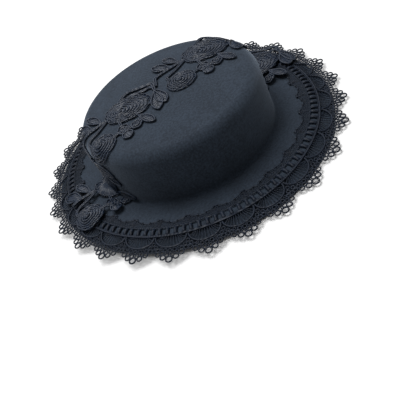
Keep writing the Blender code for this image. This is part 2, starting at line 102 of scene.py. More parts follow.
STRIP_TURN = math.radians(-20.0)
REPEAT = 0.0970
REPEATS = 4
FIRST_ROSE = -0.1770
STRIP_GAP = 0.0006
LIFT_RUN = 0.0140
LIFT_BEFORE = 0.0045
NET_EDGE = -0.0195

MM = 0.001

# %% [markdown]
# ## The felt's surface as functions
#
# A blocked hat is smooth, so its surface is written as a rule and not drawn. The brim's height
# depends on how far out a place lies, as a share of the brim's width, and on its direction: the
# sides sit slightly higher than the front and back, where the brim rests on the table.

# %% Height of the brim


def brim_wave(angle, share):
    return SIDE_LIFT * max(math.cos(2.0 * angle), -REST_SHARE) * share * share


def brim_height(angle, share):
    run = min(share, LEVEL) / LEVEL
    bend = max(0.0, min(share, LEVEL) - DIP_START) / (LEVEL - DIP_START)
    drop = BRIM_DIP * bend * bend * (3.0 - 2.0 * bend)
    return FOOT_Z + BRIM_RISE * run - drop + brim_wave(angle, run)


def brim_ellipse(share):
    keep = 1.0 - share
    return (BRIM_OFF_X * share, CROWN_BACK * keep + BRIM_OFF_Y * share,
            (CROWN_X + FOOT_R) * keep + BRIM_X * share, (CROWN_Y + FOOT_R) * keep + BRIM_Y * share)


HALVINGS = 40


def brim_share(x, y):
    """Share of the brim's width at a place seen from above, found by halving."""
    low, high = 0.0, 2.0
    for _ in range(HALVINGS):
        share = 0.5 * (low + high)
        off_x, off_y, half_x, half_y = brim_ellipse(share)
        if math.hypot((x - off_x) / half_x, (y - off_y) / half_y) > 1.0:
            low = share
        else:
            high = share
    return 0.5 * (low + high)


def felt_top(x, y):
    """Top of the brim, and past its edge the surface that the overhanging lace follows."""
    share = brim_share(x, y)
    angle = math.atan2(y, x)
    if share <= 1.0:
        return brim_height(angle, share)
    width = 0.5 * (BRIM_X + BRIM_Y - CROWN_X - CROWN_Y) - FOOT_R
    over = min(1.0, (share - 1.0) * width / OVERHANG)
    return brim_height(angle, 1.0) - OVERHANG_DROP * (1.0 - (1.0 - over) ** 2)


print("brim beside the crown:", round(FOOT_Z / MM, 2), "mm up, at its side edge:",
      round(brim_height(0.0, 1.0) / MM, 2), "mm")

# %% [markdown]
# ## Felt body
#
# Blocked felt is a wall of even thickness, so the body is two skins, outer and inner, joined round
# the brim by a rounded cut edge. Each skin is a stack of ellipses. A lathe would only give circles,
# so the rows are worked out here and joined into one closed mesh.

# %% Build the felt body
AROUND = 192
TOP_ROWS = 10
ROLL_ROWS = 12
WALL_ROWS = 12
FOOT_ROWS = 6
BRIM_ROWS = 34
EDGE_ROWS = 6


def dome_height(share):
    return SHOULDER_Z + SHOULDER_R + TOP_DOME * (1.0 - share * share)


def crown_rows(inset):
    """(half width, half length, height) of each ring from the crown's top to its foot."""
    flat_x = CROWN_X - SHOULDER_R
    flat_y = CROWN_Y - SHOULDER_R
    rows = []
    for k in range(1, TOP_ROWS):
        share = k / TOP_ROWS
        rows.append((flat_x * share, flat_y * share, dome_height(share) - inset))
    roll = SHOULDER_R - inset
    for k in range(ROLL_ROWS + 1):
        turn = 0.5 * math.pi * k / ROLL_ROWS
        rows.append((flat_x + roll * math.sin(turn), flat_y + roll * math.sin(turn),
                     SHOULDER_Z + roll * math.cos(turn)))
    foot = FOOT_Z + FOOT_R
    for k in range(1, WALL_ROWS):
        share = k / WALL_ROWS
        rows.append((CROWN_X - inset, CROWN_Y - inset, SHOULDER_Z + (foot - SHOULDER_Z) * share))
    corner = FOOT_R + inset
    for k in range(FOOT_ROWS):
        turn = 0.5 * math.pi * k / FOOT_ROWS
        grow = FOOT_R - corner * math.cos(turn)
        rows.append((CROWN_X + grow, CROWN_Y + grow, foot - corner * math.sin(turn)))
    return rows


def skin(inset):
    """Rows of points of one skin; the last is set in to leave room for the rounded edge."""
    angles = [2.0 * math.pi * k / AROUND for k in range(AROUND)]
    rows = []
    for half_x, half_y, height in crown_rows(inset):
        rows.append([(half_x * math.cos(a), CROWN_BACK + half_y * math.sin(a), height) for a in angles])
    for k in range(BRIM_ROWS + 1):
        share = k / BRIM_ROWS
        off_x, off_y, half_x, half_y = brim_ellipse(share)
        if k == BRIM_ROWS:
            half_x -= 0.5 * FELT
            half_y -= 0.5 * FELT
        row = []
        for a in angles:
            x = off_x + half_x * math.cos(a)
            y = off_y + half_y * math.sin(a)
            row.append((x, y, brim_height(math.atan2(y, x), share) - inset))
        rows.append(row)
    return rows


def edge_rows():
    """The rounded cut edge between the two skins."""
    off_x, off_y, half_x, half_y = brim_ellipse(1.0)
    rows = []
    for k in range(1, EDGE_ROWS):
        turn = math.pi * k / EDGE_ROWS
        reach = 0.5 * FELT * (math.sin(turn) - 1.0)
        row = []
        for n in range(AROUND):
            a = 2.0 * math.pi * n / AROUND
            x = off_x + (half_x + reach) * math.cos(a)
            y = off_y + (half_y + reach) * math.sin(a)
            middle = brim_height(math.atan2(y, x), 1.0) - 0.5 * FELT
            row.append((x, y, middle + 0.5 * FELT * math.cos(turn)))
        rows.append(row)
    return rows


def rows_to_mesh(name, rows, first, last):
    """A closed mesh from rings of points, with a pole at each end."""
    points = [p for row in rows for p in row] + [first, last]
    count = len(rows[0])
    faces = []
    for r in range(len(rows) - 1):
        for k in range(count):
            n = (k + 1) % count
            faces.append((r * count + k, (r + 1) * count + k, (r + 1) * count + n, r * count + n))
    top = len(points) - 2
    end = (len(rows) - 1) * count
    for k in range(count):
        n = (k + 1) % count
        faces.append((top, k, n))
        faces.append((top + 1, end + n, end + k))
    mesh = bpy.data.meshes.new(name)
    mesh.from_pydata(points, [], faces)
    mesh.update()
    mesh.shade_smooth()
    return mesh


def add_object(name, mesh):
    obj = bpy.data.objects.new(name, mesh)
    bpy.context.scene.collection.objects.link(obj)
    return obj


felt_mesh = rows_to_mesh("hat_felt", skin(0.0) + edge_rows() + skin(FELT)[::-1],
                         (0.0, CROWN_BACK, dome_height(0.0)), (0.0, CROWN_BACK, dome_height(0.0) - FELT))
hat_felt = add_object("hat_felt", felt_mesh)
print("felt faces:", len(felt_mesh.polygons))

# %% [markdown]
# ## Felt finish
#
# Wool felt is matt and slightly furry: it has no clear highlight, but its fuzz catches light at a
# low angle. So the shader is rough with a little sheen. Fine noise gives the fibres, and a wide,
# weak noise gives the cloudy look that felt has after it is dyed and pressed.

# %% Make the felt material


def new_material(name):
    mat = bpy.data.materials.new(name)
    mat.use_nodes = True
    return mat, mat.node_tree.nodes, mat.node_tree.links, mat.node_tree.nodes["Principled BSDF"]


def noise(nodes, links, vector, scale, detail, rough=0.55):
    tex = nodes.new("ShaderNodeTexNoise")
    tex.inputs["Scale"].default_value = scale
    tex.inputs["Detail"].default_value = detail
    tex.inputs["Roughness"].default_value = rough
    links.new(vector, tex.inputs["Vector"])
    return tex.outputs["Fac"]


def mix_colours(nodes, links, factor, low, high, start=0.3, end=0.7):
    ramp = nodes.new("ShaderNodeValToRGB")
    ramp.color_ramp.elements[0].position = start
    ramp.color_ramp.elements[0].color = (*low, 1.0)
    ramp.color_ramp.elements[1].position = end
    ramp.color_ramp.elements[1].color = (*high, 1.0)
    links.new(factor, ramp.inputs["Fac"])
    return ramp.outputs["Color"]


def add_bump(nodes, links, shader, height, strength, distance, before=None):
    bump = nodes.new("ShaderNodeBump")
    bump.inputs["Strength"].default_value = strength
    bump.inputs["Distance"].default_value = distance
    links.new(height, bump.inputs["Height"])
    if before is not None:
        links.new(before, bump.inputs["Normal"])
    links.new(bump.outputs["Normal"], shader.inputs["Normal"])
    return bump.outputs["Normal"]


FELT_DARK = (0.0070, 0.0108, 0.0172)
FELT_LIGHT = (0.0160, 0.0238, 0.0360)
GRAIN = 0.75                  # share of the fibres beside the clouds
CLOUD_SCALE = 38.0
FIBRE_SCALE = 520.0

felt_mat, nodes, links, shader = new_material("felt")
where = nodes.new("ShaderNodeTexCoord").outputs["Object"]
cloud = noise(nodes, links, where, CLOUD_SCALE, 4.0)
fibre = noise(nodes, links, where, FIBRE_SCALE, 3.0, 0.7)
grain = nodes.new("ShaderNodeMix")
grain.inputs["Factor"].default_value = GRAIN
links.new(cloud, grain.inputs["A"])
links.new(fibre, grain.inputs["B"])
colour = mix_colours(nodes, links, grain.outputs["Result"], FELT_DARK, FELT_LIGHT, 0.40, 0.60)
links.new(colour, shader.inputs["Base Color"])
shader.inputs["Roughness"].default_value = 0.92
shader.inputs["Sheen Weight"].default_value = 0.22
shader.inputs["Sheen Roughness"].default_value = 0.45
shader.inputs["Sheen Tint"].default_value = (0.55, 0.67, 0.84, 1.0)
shader.inputs["Specular IOR Level"].default_value = 0.20
soft = add_bump(nodes, links, shader, cloud, 0.25, 0.0015)
add_bump(nodes, links, shader, fibre, 0.60, 0.0005, soft)
felt_mesh.materials.append(felt_mat)

# %% [markdown]
# ## Flat patterns and the surfaces they lie on
#
# Lace is made flat and then laid on the hat, and this lesson does the same. Each pattern is drawn
# flat: x runs along the lace, y across it, and z is the height above its underside. A guide sheet
# follows the hat where the lace goes, and its UV map holds the flat coordinates. Geometry Nodes then
# look up each point of the pattern in that map and move it to the same place on the guide sheet.

# %% Guide sheet for the edging
EDGE_IN = -0.0230
EDGE_OUT = 0.0290
EDGE_CELLS = 26
LINE_CELLS = 336
LINE_POINTS = 2881


def line_table():
    angles = np.linspace(-0.5 * math.pi, 1.5 * math.pi, LINE_POINTS)
    x = LINE_X * np.cos(angles)
    y = LINE_Y * np.sin(angles)
    return angles, np.concatenate([[0.0], np.cumsum(np.hypot(np.diff(x), np.diff(y)))])


LINE_ANGLES, LINE_LENGTHS = line_table()
LINE_LENGTH = float(LINE_LENGTHS[-1])
PITCH = LINE_LENGTH / SCALLOPS
LINE_MEAN = LINE_LENGTH / (2.0 * math.pi)


def line_place(along, out):
    """A place seen from above, from the length along the gimp cord and the distance out of it."""
    angle = float(np.interp(along % LINE_LENGTH, LINE_LENGTHS, LINE_ANGLES))
    x = LINE_X * math.cos(angle)
    y = LINE_Y * math.sin(angle)
    nx = math.cos(angle) / LINE_X
    ny = math.sin(angle) / LINE_Y
    size = math.hypot(nx, ny)
    return x + nx / size * out, y + ny / size * out


def guide_sheet(name, place, low, high, cells):
    """A grid laid in place by a function, with its flat coordinates as UV from 0 to 1."""
    nu, nv = cells
    points = []
    flat = []
    for i in range(nu + 1):
        for j in range(nv + 1):
            u, v = i / nu, j / nv
            points.append(place(low[0] + (high[0] - low[0]) * u, low[1] + (high[1] - low[1]) * v))
            flat.append((u, v))
    faces = []
    for i in range(nu):
        for j in range(nv):
            a = i * (nv + 1) + j
            faces.append((a, a + nv + 1, a + nv + 2, a + 1))
    mesh = bpy.data.meshes.new(name)
    mesh.from_pydata(points, [], faces)
    uv = mesh.uv_layers.new(name="flat")
    for loop in mesh.loops:
        uv.data[loop.index].uv = flat[loop.vertex_index]
    mesh.shade_smooth()
    return add_object(name, mesh)


def sewn(along):
    """A length along the gimp cord after the small unevenness of the sewing."""
    share = (along / LINE_LENGTH - DRIFT_AT + 0.5) % 1.0 - 0.5
    if abs(share) >= DRIFT_HALF:
        return along
    return along + DRIFT * math.cos(0.5 * math.pi * share / DRIFT_HALF) ** 2


def edging_place(along, out):
    x, y = line_place(sewn(LINE_LENGTH - along), out)
    return x, y, felt_top(x, y) + LACE_GAP


edging_guide = guide_sheet("edging_guide", edging_place, (0.0, EDGE_IN), (LINE_LENGTH, EDGE_OUT),
                           (LINE_CELLS, EDGE_CELLS))
print("edging:", SCALLOPS, "scallops,", round(PITCH / MM, 1), "mm each")

# %% [markdown]
# The rose strip is stiffer than the edging and hangs over the crown like a belt. Its guide sheet
# follows upright cuts through the hat, one for each line of the pattern, and lifts a little where
# the strip crosses the edging.

# %% Guide sheet for the rose strip
STRIP_LOW = (-0.1960, -0.0330)
STRIP_HIGH = (0.2160, 0.0480)
STRIP_CELLS = (260, 54)
SECTION_STEPS = 16
OUTER_STEP = 0.002
OUTER_STEPS = 46


def section(across, side):
    """The felt's outline in an upright cut along the strip: length, then place along and height."""
    cos_t = math.cos(STRIP_TURN)
    sin_t = math.sin(STRIP_TURN)

    def chord(half_x, half_y):
        qa = (cos_t / half_x) ** 2 + (sin_t / half_y) ** 2
        qb = 2.0 * across * cos_t * sin_t * (1.0 / half_y ** 2 - 1.0 / half_x ** 2)
        qc = (across * sin_t / half_x) ** 2 + (across * cos_t / half_y) ** 2 - 1.0
        return (-qb + side * math.sqrt(qb * qb - 4.0 * qa * qc)) / (2.0 * qa)

    flat_x = CROWN_X - SHOULDER_R
    flat_y = CROWN_Y - SHOULDER_R
    path = []
    edge = chord(flat_x, flat_y)
    for k in range(SECTION_STEPS):
        u = edge * k / SECTION_STEPS
        x = u * cos_t - across * sin_t
        y = u * sin_t + across * cos_t
        path.append((u, dome_height(math.hypot(x / flat_x, y / flat_y))))
    for k in range(SECTION_STEPS + 1):
        turn = 0.5 * math.pi * k / SECTION_STEPS
        grow = SHOULDER_R * math.sin(turn)
        path.append((chord(flat_x + grow, flat_y + grow), SHOULDER_Z + SHOULDER_R * math.cos(turn)))
    for k in range(FOOT_ROWS + 1):
        turn = 0.5 * math.pi * k / FOOT_ROWS
        grow = FOOT_R * (1.0 - math.cos(turn))
        path.append((chord(CROWN_X + grow, CROWN_Y + grow), FOOT_Z + FOOT_R * (1.0 - math.sin(turn))))
    foot = path[-1][0]
    for k in range(1, OUTER_STEPS + 1):
        u = foot + side * OUTER_STEP * k
        x = u * cos_t - across * sin_t
        y = CROWN_BACK + u * sin_t + across * cos_t
        path.append((u, felt_top(x, y)))
    path = np.array(path)
    length = np.concatenate([[0.0], np.cumsum(np.hypot(np.diff(path[:, 0]), np.diff(path[:, 1])))])
    return length, path


def strip_lift(x, y):
    """Clearance under the strip: more where it lies on the edging."""
    out = (math.hypot(x / LINE_X, y / LINE_Y) - 1.0) * LINE_MEAN
    full = NET_EDGE - LIFT_BEFORE
    share = min(1.0, max(0.0, 1.0 + (out - full) / LIFT_RUN))
    return STRIP_GAP + (LACE_GAP + LACE + RELIEF + GAP) * share * share * (3.0 - 2.0 * share)


SECTIONS = {}
REACH = 0.0015


def drape(along, across):
    side = 1.0 if along >= 0.0 else -1.0
    key = (round(across, 6), side)
    if key not in SECTIONS:
        SECTIONS[key] = section(across, side)
    length, path = SECTIONS[key]
    here = abs(along)
    near = np.interp([here, here - REACH, here + REACH], length, path[:, 0])
    tall = np.interp([here, here - REACH, here + REACH], length, path[:, 1])
    du = float(near[2] - near[1])
    dz = float(tall[2] - tall[1])
    size = math.hypot(du, dz)
    nu, nz = -dz / size * side, du / size * side
    u, z = float(near[0]), float(tall[0])
    cos_t = math.cos(STRIP_TURN)
    sin_t = math.sin(STRIP_TURN)
    x = u * cos_t - across * sin_t
    y = CROWN_BACK + u * sin_t + across * cos_t
    rise = strip_lift(x, y)
    u += nu * rise
    return (u * cos_t - across * sin_t, CROWN_BACK + u * sin_t + across * cos_t, z + nz * rise)


strip_guide = guide_sheet("strip_guide", drape, STRIP_LOW, STRIP_HIGH, STRIP_CELLS)
print("strip guide:", len(strip_guide.data.polygons), "faces")

# %% [markdown]
# ## One tree for all the cordwork
#
# The tree takes a drawing of cords and a set of satin patches, repeats both along x, and lays them
# on the guide sheet. A point's flat place becomes a UV, Sample UV Surface finds where that UV lies on
# the sheet, and the point moves there and up along the sheet's normal by its own height. Only then
# do the cords get their thickness, from the radius stored on each point, so that they stay round.

# %% Build the tree
def build_tree():
    tree = bpy.data.node_groups.new("lay_on_sheet", "GeometryNodeTree")
    ids = {}

    def give(name, kind, value=None):
        socket = tree.interface.new_socket(name=name, in_out="INPUT", socket_type=kind)
        if value is not None:
            socket.default_value = value
        ids[name] = socket.identifier

    give("Geometry", "NodeSocketGeometry")
    give("Cords", "NodeSocketObject")
    give("Patches", "NodeSocketObject")
    give("Sheet", "NodeSocketObject")
    give("Count", "NodeSocketInt", 1)
    give("Pitch", "NodeSocketFloat", 0.03)
    give("Start", "NodeSocketFloat", 0.0)
    give("Low", "NodeSocketVector", (0.0, 0.0, 0.0))
    give("Size", "NodeSocketVector", (1.0, 1.0, 1.0))
    give("Sides", "NodeSocketInt", 6)
    give("Finish", "NodeSocketMaterial")
    tree.interface.new_socket(name="Geometry", in_out="OUTPUT", socket_type="NodeSocketGeometry")
    nodes, links = tree.nodes, tree.links
    source = nodes.new("NodeGroupInput")

    def node(kind, **inputs):
        made = nodes.new(kind)
        for name, value in inputs.items():
            socket = made.inputs[name.replace("_", " ")]
            if isinstance(value, bpy.types.NodeSocket):
                links.new(value, socket)
            else:
                socket.default_value = value
        return made

    def maths(operation, first, second):
        made = nodes.new("ShaderNodeVectorMath")
        made.operation = operation
        links.new(first, made.inputs[0])
        links.new(second, made.inputs[1])
        return made.outputs[0]

    offset = node("ShaderNodeCombineXYZ", X=source.outputs["Pitch"])
    start = node("ShaderNodeCombineXYZ", X=source.outputs["Start"])
    line = node("GeometryNodeMeshLine", Count=source.outputs["Count"],
                Start_Location=start.outputs[0], Offset=offset.outputs[0])
    flat = nodes.new("GeometryNodeJoinGeometry")
    for name in ("Cords", "Patches"):
        info = node("GeometryNodeObjectInfo", Object=source.outputs[name])
        links.new(info.outputs["Geometry"], flat.inputs[0])
    copies = node("GeometryNodeInstanceOnPoints", Points=line.outputs[0], Instance=flat.outputs[0])
    real = node("GeometryNodeRealizeInstances", Geometry=copies.outputs[0])

    place = nodes.new("GeometryNodeInputPosition").outputs[0]
    share = maths("DIVIDE", maths("SUBTRACT", place, source.outputs["Low"]), source.outputs["Size"])
    parts = node("ShaderNodeSeparateXYZ", Vector=share)
    wrapped = nodes.new("ShaderNodeMath")
    wrapped.operation = "FRACT"
    links.new(parts.outputs[0], wrapped.inputs[0])
    where = node("ShaderNodeCombineXYZ", X=wrapped.outputs[0], Y=parts.outputs[1])
    sheet = node("GeometryNodeObjectInfo", Object=source.outputs["Sheet"])
    uv = nodes.new("GeometryNodeInputNamedAttribute")
    uv.data_type = "FLOAT_VECTOR"
    uv.inputs["Name"].default_value = "flat"
    found = []
    for value in (nodes.new("GeometryNodeInputPosition").outputs[0],
                  nodes.new("GeometryNodeInputNormal").outputs[0]):
        sample = nodes.new("GeometryNodeSampleUVSurface")
        sample.data_type = "FLOAT_VECTOR"
        links.new(sheet.outputs["Geometry"], sample.inputs["Mesh"])
        links.new(value, sample.inputs["Value"])
        links.new(uv.outputs["Attribute"], sample.inputs["Source UV Map"])
        links.new(where.outputs[0], sample.inputs["Sample UV"])
        found.append(sample.outputs["Value"])
    height = node("ShaderNodeSeparateXYZ", Vector=place)
    rise = nodes.new("ShaderNodeVectorMath")
    rise.operation = "SCALE"
    links.new(found[1], rise.inputs[0])
    links.new(height.outputs[2], rise.inputs["Scale"])
    laid = node("GeometryNodeSetPosition", Geometry=real.outputs[0],
                Position=maths("ADD", found[0], rise.outputs[0]))

    split = node("GeometryNodeSeparateComponents", Geometry=laid.outputs[0])
    ring = nodes.new("GeometryNodeCurvePrimitiveCircle")
    ring.inputs["Radius"].default_value = 1.0
    links.new(source.outputs["Sides"], ring.inputs["Resolution"])
    tube = node("GeometryNodeCurveToMesh", Curve=split.outputs["Curve"], Profile_Curve=ring.outputs[0],
                Fill_Caps=True)
    if "Scale" in tube.inputs:
        radius = nodes.new("GeometryNodeInputRadius")
        links.new(radius.outputs[0], tube.inputs["Scale"])
    join = nodes.new("GeometryNodeJoinGeometry")
    links.new(split.outputs["Mesh"], join.inputs[0])
    links.new(tube.outputs[0], join.inputs[0])
    final = node("GeometryNodeRealizeInstances", Geometry=join.outputs[0])
    smooth = node("GeometryNodeSetShadeSmooth", Geometry=final.outputs[0])
    finish = node("GeometryNodeSetMaterial", Geometry=smooth.outputs[0], Material=source.outputs["Finish"])
    sink = nodes.new("NodeGroupOutput")
    links.new(finish.outputs[0], sink.inputs[0])
    return tree, ids


lay_tree, lay_ids = build_tree()
print("tree inputs:", ", ".join(lay_ids))

# %% [markdown]
# ## Drawing helpers
#
# A pattern is a list of cords, each with its points, its radius and whether it is closed, and a list
# of satin patches. A patch is a low pillow: thread wound closely over a padded shape.

# %% Cords, rings and satin patches
PILLOW_EDGE = 0.35            # height of a patch at its edge, as a share


class Drawing:
    """Cords and patches of one flat pattern, in metres."""

    def __init__(self):
        self.cords = []
        self.points = []
        self.faces = []

    def cord(self, points, radius, closed=False, lift=0.0):
        self.cords.append(([(x, y, radius + lift) for x, y in points], radius, closed))

    def ring(self, x, y, size, radius, steps, lift=0.0, squash=1.0):
        turn = 2.0 * math.pi / steps
        self.cord([(x + size * squash * math.cos(turn * k), y + size * math.sin(turn * k))
                   for k in range(steps)], radius, True, lift)

    def patch(self, loop, height, low=0.0, rings=4, power=2.5):
        """A pillow over a closed loop, flat below."""
        cx = sum(p[0] for p in loop) / len(loop)
        cy = sum(p[1] for p in loop) / len(loop)
        base = len(self.points)
        count = len(loop)
        for k in range(rings + 1):
            share = 1.0 - k / (rings + 1)
            rise = low + (height - low) * (PILLOW_EDGE + (1.0 - PILLOW_EDGE) * (1.0 - share ** power))
            self.points.extend((cx + (x - cx) * share, cy + (y - cy) * share, rise) for x, y in loop)
        self.points.append((cx, cy, height))
        self.points.extend((x, y, low) for x, y in loop)
        self.points.append((cx, cy, low))
        top = base + (rings + 1) * count
        under = top + 1
        for k in range(rings):
            for i in range(count):
                j = (i + 1) % count
                a, b = base + k * count + i, base + k * count + j
                self.faces.append((a, b, b + count, a + count))
        last = base + rings * count
        for i in range(count):
            j = (i + 1) % count
            self.faces.append((last + i, last + j, top))
            self.faces.append((base + j, base + i, under + i, under + j))
            self.faces.append((under + j, under + i, under + count))

    def add(self, name):
        """The drawing as two objects: a curve with one spline per cord, and a mesh."""
        curve = bpy.data.curves.new(name + "_cords", "CURVE")
        curve.dimensions = "3D"
        for points, radius, closed in self.cords:
            spline = curve.splines.new("POLY")
            spline.points.add(len(points) - 1)
            for k, (x, y, z) in enumerate(points):
                spline.points[k].co = (x, y, z, 1.0)
                spline.points[k].radius = radius
            spline.use_cyclic_u = closed
        mesh = bpy.data.meshes.new(name + "_patches")
        mesh.from_pydata(self.points, [], self.faces)
        mesh.update()
        return add_object(name + "_cords", curve), add_object(name + "_patches", mesh)


def lay(name, drawing, sheet, low, high, count, pitch, start, sides, finish):
    """Lay a drawing on a guide sheet and keep the result as a plain mesh object."""
    cords, patches = drawing.add(name)
    carrier = add_object(name, bpy.data.meshes.new(name + "_carrier"))
    modifier = carrier.modifiers.new("lay", "NODES")
    modifier.node_group = lay_tree
    values = {"Cords": cords, "Patches": patches, "Sheet": sheet, "Count": count, "Pitch": pitch,
              "Start": start, "Low": (*low, 0.0), "Size": (high[0] - low[0], high[1] - low[1], 1.0),
              "Sides": sides, "Finish": finish}
    for key, value in values.items():
        modifier[lay_ids[key]] = value
    graph = bpy.context.evaluated_depsgraph_get()
    mesh = bpy.data.meshes.new_from_object(carrier.evaluated_get(graph))
    carrier.modifiers.clear()
    carrier.data = mesh
    mesh.name = name
    for helper in (cords, patches):
        bpy.data.objects.remove(helper, do_unlink=True)
    mesh.calc_loop_triangles()
    print(name, "triangles:", len(mesh.loop_triangles))
    return carrier


# %% [markdown]
# ## Thread finish
#
# The lace is worked in a slightly shiny, dark thread. Cords are twisted, which shows as fine slanted
# grooves, so the bump is a narrow wave along each cord, broken up by noise.

# %% Make the thread materials
TWISTS = 420.0                # grooves along a metre of cord
TONE_SCALE = 260.0
EDGING_DARK = (0.0026, 0.0050, 0.0105)
EDGING_LIGHT = (0.0054, 0.0102, 0.0210)
STRIP_DARK = (0.0050, 0.0088, 0.0170)
STRIP_LIGHT = (0.0100, 0.0176, 0.0340)


def thread_material(name, dark, light, rough, shine):
    mat, nodes, links, shader = new_material(name)
    where = nodes.new("ShaderNodeTexCoord").outputs["Object"]
    tone = noise(nodes, links, where, TONE_SCALE, 3.0)
    links.new(mix_colours(nodes, links, tone, dark, light), shader.inputs["Base Color"])
    shader.inputs["Roughness"].default_value = rough
    shader.inputs["Specular IOR Level"].default_value = shine
    wave = nodes.new("ShaderNodeTexWave")
    wave.wave_type = "BANDS"
    wave.bands_direction = "DIAGONAL"
    wave.inputs["Scale"].default_value = TWISTS
    wave.inputs["Distortion"].default_value = 1.5
    wave.inputs["Detail"].default_value = 1.0
    links.new(where, wave.inputs["Vector"])
    add_bump(nodes, links, shader, wave.outputs["Fac"], 0.5, 0.0003)
    return mat


edging_mat = thread_material("edging_thread", EDGING_DARK, EDGING_LIGHT, 0.50, 0.18)
strip_mat = thread_material("strip_thread", STRIP_DARK, STRIP_LIGHT, 0.40, 0.25)

# %% [markdown]
# ## The scalloped edging
#
# One scallop holds, from outside in: five rings, of which the middle one is the largest, small
# loops, an arc cord over a fan of thin spokes, the straight gimp cord, a ladder of four satin bars,
# and a fine net that ends in a peak between two scallops. Widths shrink with the distance outwards,
# because the lace is gathered along the gimp cord.

# %% Draw one scallop
RINGS = (
    # across, out, radius to the cord's middle, cord radius, steps
    (0.0, 22.6, 2.85, 0.72, 16),
    (-6.0, 20.3, 2.35, 0.70, 13),
    (6.0, 20.3, 2.35, 0.70, 13),
    (-10.9, 17.2, 2.10, 0.66, 12),
    (10.9, 17.2, 2.10, 0.66, 12),
    (-14.7, 13.9, 1.85, 0.62, 11),
    (14.7, 13.9, 1.85, 0.62, 11),
)
HOLES = (
    # across, out, radius to the cord's middle, cord radius, steps: the small holes of the mesh
    (-2.5, 18.2, 1.80, 0.58, 9),
    (2.5, 18.2, 1.80, 0.58, 9),
    (-7.0, 16.3, 1.75, 0.58, 9),
    (7.0, 16.3, 1.75, 0.58, 9),
    (0.0, 14.5, 1.80, 0.58, 9),
    (-4.3, 13.8, 1.75, 0.58, 9),
    (4.3, 13.8, 1.75, 0.58, 9),
    (-10.9, 13.4, 1.70, 0.58, 9),
    (10.9, 13.4, 1.70, 0.58, 9),
    (-8.2, 12.0, 1.30, 0.55, 8),
    (8.2, 12.0, 1.30, 0.55, 8),
    (-13.4, 10.2, 1.60, 0.58, 9),
    (13.4, 10.2, 1.60, 0.58, 9),
    (16.0, 7.0, 1.60, 0.58, 9),
)
ARC = (14.4, 10.2, 1.2)       # half width, rise, foot of the arc cord
SPOKES = 11
BARS = 4
BAR_WIDE = 3.1
BAR_TOP = -1.3
BAR_LOW = -8.0
NET_CELL = 2.1
NET_PEAK = -19.3
NET_SHALLOW = -14.0
NET_KNOTS = 4

GIMP_CORD = 0.85              # radii of the cords
ARC_CORD = 0.95
LADDER_CORD = 0.45
SPOKE_CORD = 0.42
BORDER_CORD = 0.42
NET_CORD = 0.20
KNOT_CORD = 0.55
LADDER_EDGE = 0.2             # from the ends of the bars to the cords beside them
BAR_BULGE = 0.25
SPOKE_TOP = 0.97              # where a spoke ends and starts, as shares of the arc
SPOKE_FOOT = 0.55
SPOKE_LOW = 0.4
GIMP_STEPS = 10
LADDER_STEPS = 8
ARC_STEPS = 18
BORDER_STEPS = 14


def squeeze(across, out):
    """Flat x of a true distance across, at a distance out of the gimp cord."""
    return across * MM / (1.0 + out * MM / LINE_MEAN)


def flat(points):
    return [(squeeze(x, y), y * MM) for x, y in points]


def net_border(x):
    """How far in the net reaches at a true distance across the scallop, in mm."""
    half = 0.5 * PITCH / MM
    share = min(1.0, abs(x) / half)
    return NET_SHALLOW + (NET_PEAK - NET_SHALLOW) * share ** 1.4


def draw_scallop():
    d = Drawing()
    half = 0.5 * PITCH / MM
    d.cord([(-half * MM + PITCH * k / GIMP_STEPS, 0.0) for k in range(GIMP_STEPS + 1)], GIMP_CORD * MM)
    for out in (BAR_TOP + LADDER_EDGE, BAR_LOW - LADDER_EDGE):
        d.cord([(-half * MM + PITCH * k / LADDER_STEPS, out * MM) for k in range(LADDER_STEPS + 1)],
               LADDER_CORD * MM)
    for across, out, size, radius, steps in RINGS + HOLES:
        d.ring(squeeze(across, out), out * MM, size * MM, radius * MM, steps,
               squash=1.0 / (1.0 + out * MM / LINE_MEAN))
    wide, rise, foot = ARC
    turns = [math.pi * k / ARC_STEPS for k in range(ARC_STEPS + 1)]
    d.cord(flat([(wide * math.cos(turn), foot + rise * math.sin(turn)) for turn in turns]), ARC_CORD * MM)
    for k in range(SPOKES):
        turn = math.pi * (k + 1) / (SPOKES + 1)
        top = (wide * SPOKE_TOP * math.cos(turn), foot + rise * SPOKE_TOP * math.sin(turn))
        low = (wide * SPOKE_FOOT * math.cos(turn), SPOKE_LOW)
        d.cord(flat([low, top]), SPOKE_CORD * MM)
    step = 2.0 * half / BARS
    for k in range(BARS):
        x = -half + (k + 0.5) * step
        w = 0.5 * BAR_WIDE
        middle = 0.5 * (BAR_LOW + BAR_TOP)
        loop = [(x - w, BAR_LOW), (x, BAR_LOW - BAR_BULGE), (x + w, BAR_LOW), (x + w, middle),
                (x + w, BAR_TOP), (x, BAR_TOP + BAR_BULGE), (x - w, BAR_TOP), (x - w, middle)]
        d.patch(flat(loop), LACE + RELIEF, rings=3)
    draw_net(d, half)
    return d


